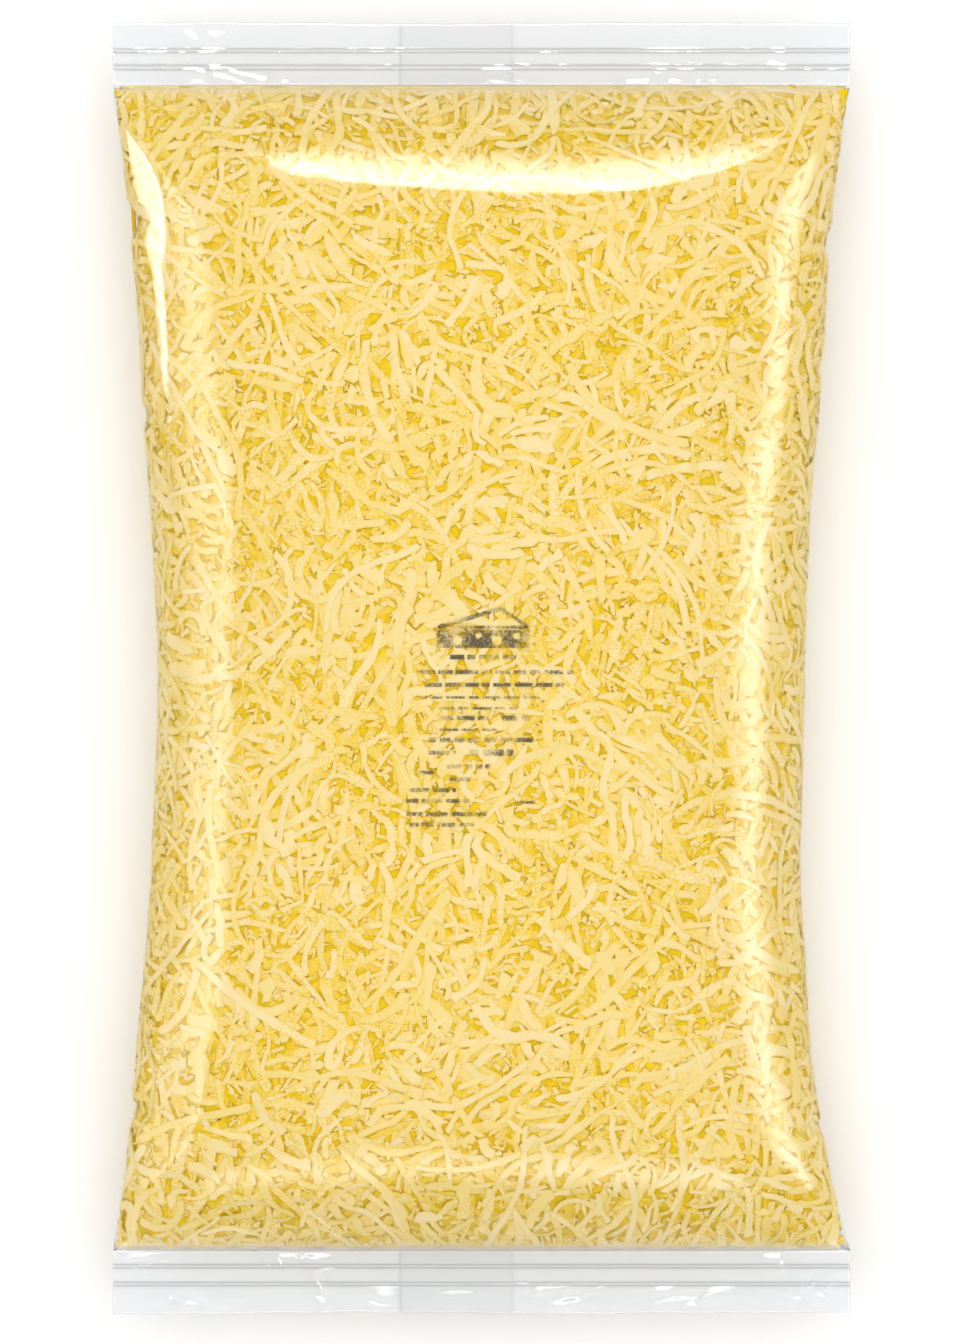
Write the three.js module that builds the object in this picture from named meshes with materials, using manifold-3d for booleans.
// A clear film pillow bag filled with grated cheese, lying on its back seam.
// Millimetres, +Z up, +Y towards the top end seal, +X to the right of the front face.
// The origin is the middle of the underside, on the surface that the bag lies on.
import * as THREE from "three";
import { mergeVertices } from "three/addons/utils/BufferGeometryUtils.js";
import Module from "manifold-3d";

const wasm = await Module();
wasm.setup();

// ---- Driving dimensions ----
const BAG_WIDTH = 250; // the film tube laid flat, which the end seals keep
const BAG_LENGTH = 438; // over both end seals
const SEAL_DEPTH = 21.5; // from the cheese to the free edge of an end seal
const FILL_HEIGHT = 66; // crown of the filled pouch above the table
const EDGE_HEIGHT = 26; // side folds and end seals above the table
const TOUCH_GAP = 0.3; // between neighbouring solids that touch

// ---- The filled pouch ----
const RISE_LENGTH = 21; // the film climbs from an end seal over about this length
const CROWN_FALL = 0.06; // share of its height that the pouch has lost at its ends
const UPPER_POWER = 2.4; // superellipse of the domed upper half of a section
const LOWER_POWER = 3.2; // and of the squarer lower half
const UNDERSIDE_PRESS = 1.6; // how far the lower half is pressed flat by the table
const END_THICKNESS = 1.6; // the pouch where it meets an end seal
const WALL_POWER = 6; // end wall corners stay thin for the last few millimetres

// Each side fold is drawn in from the flat width: most at its waist, and a little more
// where the film has buckled into a pinch. Heights along the bag are from its middle.
const LEFT_SIDE = {
  inset: 13.9,
  waist: 10,
  powerUp: 1.3,
  powerDown: 1.65,
  pinches: [
    { at: 151.5, depth: 3.4, spread: 4.2 },
    { at: -149.8, depth: 2.6, spread: 2.6 },
  ],
};
const RIGHT_SIDE = {
  inset: 15.2,
  waist: -61,
  powerUp: 1.9,
  powerDown: 2,
  pinches: [{ at: 143.7, depth: 1.9, spread: 3.6 }],
};

// ---- Shreds of cheese that show through the film ----
const RELIEF = 1.3; // from the packed cheese to the film that lies on the shreds
const SHRED_COUNT = 104;
const SHRED_LENGTH = { longest: 64, shortest: 18 };
const SHRED_WIDTH = { widest: 4.6, narrowest: 3 };
const SHRED_ROOT = 2.6; // how deep a shred is sunk in the packed cheese
const SHRED_SPAN = 13; // longest straight stretch along a shred
const SHRED_BEND = 0.9; // most that a shred turns from end to end, in radians
const SHRED_TIP = 0.7; // width left at the ends, as a share
const BARE_UNDERSIDE = 6; // no shreds below this height, where the bag is pressed flat
const SEAM_MARGIN = 4; // nor this near to the back seam

const END_MARGIN = 4; // and they stop this far short of an end seal
const EVEN_SHARES = [0.7548776662, 0.569840291]; // steps that spread points evenly

// ---- Film: end seals and back seam ----
const FILM_STACK = 0.8; // an end seal
const WELD_RIB = { height: 0.35, width: 1.2, lines: [5.2, 12] }; // from the cheese edge
const SEAL_DROOP = 3; // free edge below the welded edge
const SEAL_RIPPLE = 1.1; // wave of the free edge
const SEAM = { left: -27.6, right: 10.3, thickness: 0.6 }; // the strip where the tube laps
const LAP_DROP = 0.5; // the lap stands this far below the rest of an end seal

// ---- Mesh steps ----
const GIRTH_STEPS = 36;
const END_RINGS = [0, 3, 8, 15, 25, 40]; // from an end seal
const PINCH_RINGS = [-1.2, 0, 1.2]; // across a pinch, in spreads
const RING_SPACING = 22;
const SEAM_STEPS = 40;
const SEAL_STEPS = 24;

const HALF_FILL = BAG_LENGTH / 2 - SEAL_DEPTH - TOUCH_GAP;

const material = (color, roughness, opacity = 1) =>
  new THREE.MeshStandardMaterial({
    color,
    roughness,
    metalness: 0,
    transparent: opacity < 1,
    opacity,
  });
const cheese = material(0xf6dc8c, 0.55);
const film = material(0xe6e8ea, 0.15, 0.5);

// Repeatable random numbers from 0 to 1.
function randomSource(seed) {
  let state = seed;
  return () => {
    state = (state + 0x6d2b79f5) | 0;
    let t = Math.imul(state ^ (state >>> 15), 1 | state);
    t = (t + Math.imul(t ^ (t >>> 7), 61 | t)) ^ t;
    return ((t ^ (t >>> 14)) >>> 0) / 4294967296;
  };
}

// How far a side fold lies in from the flat width of the bag, at y.
function sideInset(side, y) {
  const along = y - side.waist;
  const reach = along > 0 ? HALF_FILL - side.waist : HALF_FILL + side.waist;
  const power = along > 0 ? side.powerUp : side.powerDown;
  const taper = side.inset * (1 - Math.min(1, Math.abs(along) / reach) ** power);
  return side.pinches.reduce(
    (inset, p) => inset + p.depth * Math.exp(-(((y - p.at) / p.spread) ** 2)),
    taper,
  );
}

// Share of the full height that the filled pouch has at y: the film climbs from each end
// seal and stays nearly level between them.
function riseAt(y) {
  const fromSeal = HALF_FILL - Math.abs(y);
  const crown = 1 - CROWN_FALL * (y / HALF_FILL) ** 2;
  return (1 - Math.exp(-fromSeal / RISE_LENGTH)) * crown;
}

// One closed cross-section of the pouch, starting at the right side fold and running over
// the top. Its upper and lower halves are superellipses that meet at the side folds.
class PouchSection extends THREE.Curve {
  constructor(y, depth) {
    super();
    this.y = y;
    const left = BAG_WIDTH / 2 - sideInset(LEFT_SIDE, y);
    const right = BAG_WIDTH / 2 - sideInset(RIGHT_SIDE, y);
    const rise = riseAt(y);
    const sunk = depth * Math.min(1, rise * WALL_POWER);
    this.middle = (right - left) / 2;
    this.halfWidth = (right + left) / 2 - sunk;
    this.up = Math.max((FILL_HEIGHT - EDGE_HEIGHT) * rise - sunk, END_THICKNESS / 2);
    this.down = Math.max((EDGE_HEIGHT + UNDERSIDE_PRESS) * rise, END_THICKNESS / 2);
  }

  getPoint(t, target = new THREE.Vector3()) {
    const turn = t * 2 * Math.PI;
    const upper = Math.sin(turn) >= 0;
    const power = 2 / (upper ? UPPER_POWER : LOWER_POWER);
    const across = Math.abs(Math.cos(turn)) ** power * Math.sign(Math.cos(turn));
    const height = Math.abs(Math.sin(turn)) ** power * (upper ? this.up : -this.down);
    return target.set(
      this.middle + this.halfWidth * across,
      this.y,
      Math.max(0, EDGE_HEIGHT + height),
    );
  }
}

// The point and outward normal of the pouch's skin, at a share of the way round and at y.
function skinAt(share, y, depth) {
  const step = 0.5;
  const wrapped = share - Math.floor(share);
  const section = new PouchSection(y, depth);
  const point = section.getPointAt(wrapped);
  const round = section.getTangentAt(wrapped);
  const ahead = new PouchSection(y + step, depth).getPointAt(wrapped);
  const behind = new PouchSection(y - step, depth).getPointAt(wrapped);
  const normal = new THREE.Vector3().crossVectors(ahead.sub(behind), round).normalize();
  return { point, normal };
}

// A closed mesh's geometry as a manifold-3d solid.
function solidOf(geometry) {
  const bare = geometry.clone();
  bare.deleteAttribute("normal");
  bare.deleteAttribute("uv");
  const merged = mergeVertices(bare, 1e-4);
  return new wasm.Manifold(
    new wasm.Mesh({
      numProp: 3,
      vertProperties: merged.attributes.position.array,
      triVerts: new Uint32Array(merged.index.array),
    }),
  );
}

function geometryOf(solid) {
  const { vertProperties, triVerts } = solid.getMesh();
  const geometry = new THREE.BufferGeometry();
  geometry.setAttribute("position", new THREE.BufferAttribute(vertProperties, 3));
  geometry.setIndex(new THREE.BufferAttribute(triVerts, 1));
  geometry.computeVertexNormals();
  return geometry;
}

// Moves every vertex of a geometry to where place(vertex) says.
function bend(geometry, place) {
  const position = geometry.attributes.position;
  const vertex = new THREE.Vector3();
  for (let i = 0; i < position.count; i += 1) {
    const moved = place(vertex.fromBufferAttribute(position, i).clone());
    position.setXYZ(i, moved.x, moved.y, moved.z);
  }
  return geometry;
}

// Where the rings of the pouch lie along it: closer near the end seals, where it climbs,
// and across each pinch of a side fold.
function ringPlaces() {
  const ends = END_RINGS.flatMap((d) => [HALF_FILL - d, d - HALF_FILL]);
  const pinches = [...LEFT_SIDE.pinches, ...RIGHT_SIDE.pinches].flatMap(({ at, spread }) =>
    PINCH_RINGS.map((offset) => at + offset * spread),
  );
  const places = [...ends, ...pinches].sort((a, b) => a - b);
  return places.flatMap((y, i) => {
    const gap = i ? y - places[i - 1] : 0;
    const parts = Math.max(1, Math.ceil(gap / RING_SPACING));
    return Array.from({ length: parts }, (_, k) => y - (gap * (parts - 1 - k)) / parts);
  });
}

// The packed cheese without its loose surface: a closed cylinder bent to the sections.
function packedCheese() {
  const places = ringPlaces();
  const steps = places.length - 1;
  const rings = places.map((y) => new PouchSection(y, RELIEF).getSpacedPoints(GIRTH_STEPS));
  const cylinder = new THREE.CylinderGeometry(1, 1, 1, GIRTH_STEPS, steps);
  return bend(cylinder, ({ x, y, z }) => {
    const ring = rings[Math.round((y + 0.5) * steps)];
    if (Math.hypot(x, z) < 0.5) {
      const centre = ring[0].clone().add(ring[GIRTH_STEPS / 2]);
      return centre.multiplyScalar(0.5);
    }
    const turn = Math.atan2(z, x) / (2 * Math.PI);
    return ring[Math.round((turn + 1) * GIRTH_STEPS) % GIRTH_STEPS];
  });
}

// A shred: a flat strip that follows the skin along a gently bending path.
function shred({ share, y, heading, bendAngle, length, width }) {
  const spans = Math.max(2, Math.ceil(length / SHRED_SPAN));
  const girth = 2 * BAG_WIDTH;
  const stations = Array.from({ length: spans + 1 }, (_, i) => {
    const along = i / spans - 0.5;
    const turned = heading + bendAngle * along * 0.5;
    const round = (along * length * Math.cos(turned)) / girth;
    return skinAt(share + round, y + along * length * Math.sin(turned), RELIEF);
  });
  const box = new THREE.BoxGeometry(1, 1, 1, spans, 1, 1);
  return bend(box, ({ x, y: across, z: up }) => {
    const i = Math.round((x + 0.5) * spans);
    const { point, normal } = stations[i];
    const before = stations[Math.max(0, i - 1)].point;
    const after = stations[Math.min(spans, i + 1)].point;
    const side = after.clone().sub(before).cross(normal).normalize();
    const taper = i === 0 || i === spans ? SHRED_TIP : 1;
    return point
      .clone()
      .addScaledVector(side, -across * width * taper)
      .addScaledVector(normal, up > 0 ? RELIEF : -SHRED_ROOT);
  });
}

// Whether a shred would lie on the flat underside or on the back seam.
function isOnBareFilm({ share, y, heading, length }) {
  return [-0.5, -0.25, 0, 0.25, 0.5].some((end) => {
    const round = (end * length * Math.cos(heading)) / (2 * BAG_WIDTH);
    const along = y + end * length * Math.sin(heading);
    const { point } = skinAt(share + round, along, RELIEF);
    const overSeam = point.x > SEAM.left - SEAM_MARGIN && point.x < SEAM.right + SEAM_MARGIN;
    return point.z < (overSeam ? EDGE_HEIGHT : BARE_UNDERSIDE);
  });
}

// The shreds, longest first, spread evenly over the pouch by a low-discrepancy sequence.
function shreds() {
  const random = randomSource(41);
  const { lerp } = THREE.MathUtils;
  const laid = [];
  for (let i = 1; laid.length < SHRED_COUNT; i += 1) {
    const shrinking = Math.sqrt(laid.length / SHRED_COUNT);
    const length = lerp(SHRED_LENGTH.longest, SHRED_LENGTH.shortest, shrinking);
    const reach = HALF_FILL - length / 2 - END_MARGIN;
    const made = {
      share: (i * EVEN_SHARES[0]) % 1,
      y: (((i * EVEN_SHARES[1]) % 1) * 2 - 1) * reach,
      heading: random() * Math.PI,
      bendAngle: (random() * 2 - 1) * SHRED_BEND,
      width: lerp(SHRED_WIDTH.narrowest, SHRED_WIDTH.widest, random()),
      length,
    };
    if (!isOnBareFilm(made)) laid.push(shred(made));
  }
  return laid;
}

// Height of the pouch's underside at x and y.
function underside(x, y) {
  const section = new PouchSection(y, 0);
  const across = Math.min(1, Math.abs(x - section.middle) / section.halfWidth);
  const drop = section.down * (1 - across ** LOWER_POWER) ** (1 / LOWER_POWER);
  return Math.max(0, EDGE_HEIGHT - drop);
}

// The back seam's strip on the underside, or, grown, the groove that it lies in.
function seamStrip(grow) {
  const width = SEAM.right - SEAM.left + 2 * grow;
  const length = 2 * (HALF_FILL + grow);
  const centre = (SEAM.left + SEAM.right) / 2;
  const strip = new THREE.BoxGeometry(width, length, 1, 1, SEAM_STEPS, 1);
  return bend(strip, ({ x, y, z: up }) => {
    const skin = underside(centre, THREE.MathUtils.clamp(y, -HALF_FILL, HALF_FILL));
    const height = up > 0 ? SEAM.thickness + grow : -grow;
    return new THREE.Vector3(centre + x, y, skin + height);
  });
}

// How far an end seal hangs and waves off its welded edge, at x and a distance out from it.
function sealWave(x, out) {
  const free = out / SEAL_DEPTH;
  const ripple = Math.sin(x / 17 + 0.8) + 0.6 * Math.sin(x / 7.3 + 2.1);
  return -SEAL_DROOP * free ** 1.5 + (SEAL_RIPPLE / 2) * ripple * free ** 2;
}

// One face of an end seal's profile, from the welded edge out: flat film with weld ribs.
function sealFace(side) {
  const { height, width, lines } = WELD_RIB;
  const flat = (side * FILM_STACK) / 2;
  const ribs = lines.flatMap((line) => [
    [line - width / 2, flat],
    [line - width / 4, flat + side * height],
    [line + width / 4, flat + side * height],
    [line + width / 2, flat],
  ]);
  return [[0, flat], ...ribs, [SEAL_DEPTH, flat]];
}

// The flat band of an end seal: its profile drawn across the bag, with +Y outwards.
function sealBand() {
  const outline = [...sealFace(-1), ...sealFace(1).reverse()];
  const profile = new THREE.Shape(outline.map(([y, z]) => new THREE.Vector2(y, z)));
  const band = new THREE.ExtrudeGeometry(profile, {
    depth: BAG_WIDTH,
    steps: SEAL_STEPS,
    bevelEnabled: false,
  });
  const across = new THREE.Vector3(1, 0, 0);
  const outwards = new THREE.Vector3(0, 1, 0);
  const upwards = new THREE.Vector3(0, 0, 1);
  band.applyMatrix4(new THREE.Matrix4().makeBasis(outwards, upwards, across));
  return band.translate(-BAG_WIDTH / 2, 0, 0);
}

// The lap of the back seam, a second thickness of film under an end seal.
function lapPad(left, right) {
  const pad = new THREE.BoxGeometry(right - left, SEAL_DEPTH, FILM_STACK, 6, 4, 1);
  return pad.translate((left + right) / 2, SEAL_DEPTH / 2, -LAP_DROP);
}

// The end seal at the top of the bag, or at the bottom, turned half round.
function endSeal(end) {
  const hang = ({ x, y, z }) =>
    new THREE.Vector3(
      end * x,
      end * (BAG_LENGTH / 2 - SEAL_DEPTH + y),
      EDGE_HEIGHT + z + sealWave(x, y),
    );
  const [left, right] = [end * SEAM.left, end * SEAM.right].sort((a, b) => a - b);
  const band = solidOf(bend(sealBand(), hang));
  return band.add(solidOf(bend(lapPad(left, right), hang)));
}

function piece(name, geometry, finish) {
  const mesh = new THREE.Mesh(geometry, finish);
  mesh.name = name;
  return mesh;
}

const pouch = shreds()
  .map(solidOf)
  .reduce((whole, strip) => whole.add(strip), solidOf(packedCheese()))
  .subtract(solidOf(seamStrip(TOUCH_GAP)));

const bag = new THREE.Group();
bag.add(piece("filled_pouch", geometryOf(pouch), cheese));
bag.add(piece("top_end_seal", geometryOf(endSeal(1)), film));
bag.add(piece("bottom_end_seal", geometryOf(endSeal(-1)), film));
bag.add(piece("back_seam", seamStrip(0), film));

export default bag;
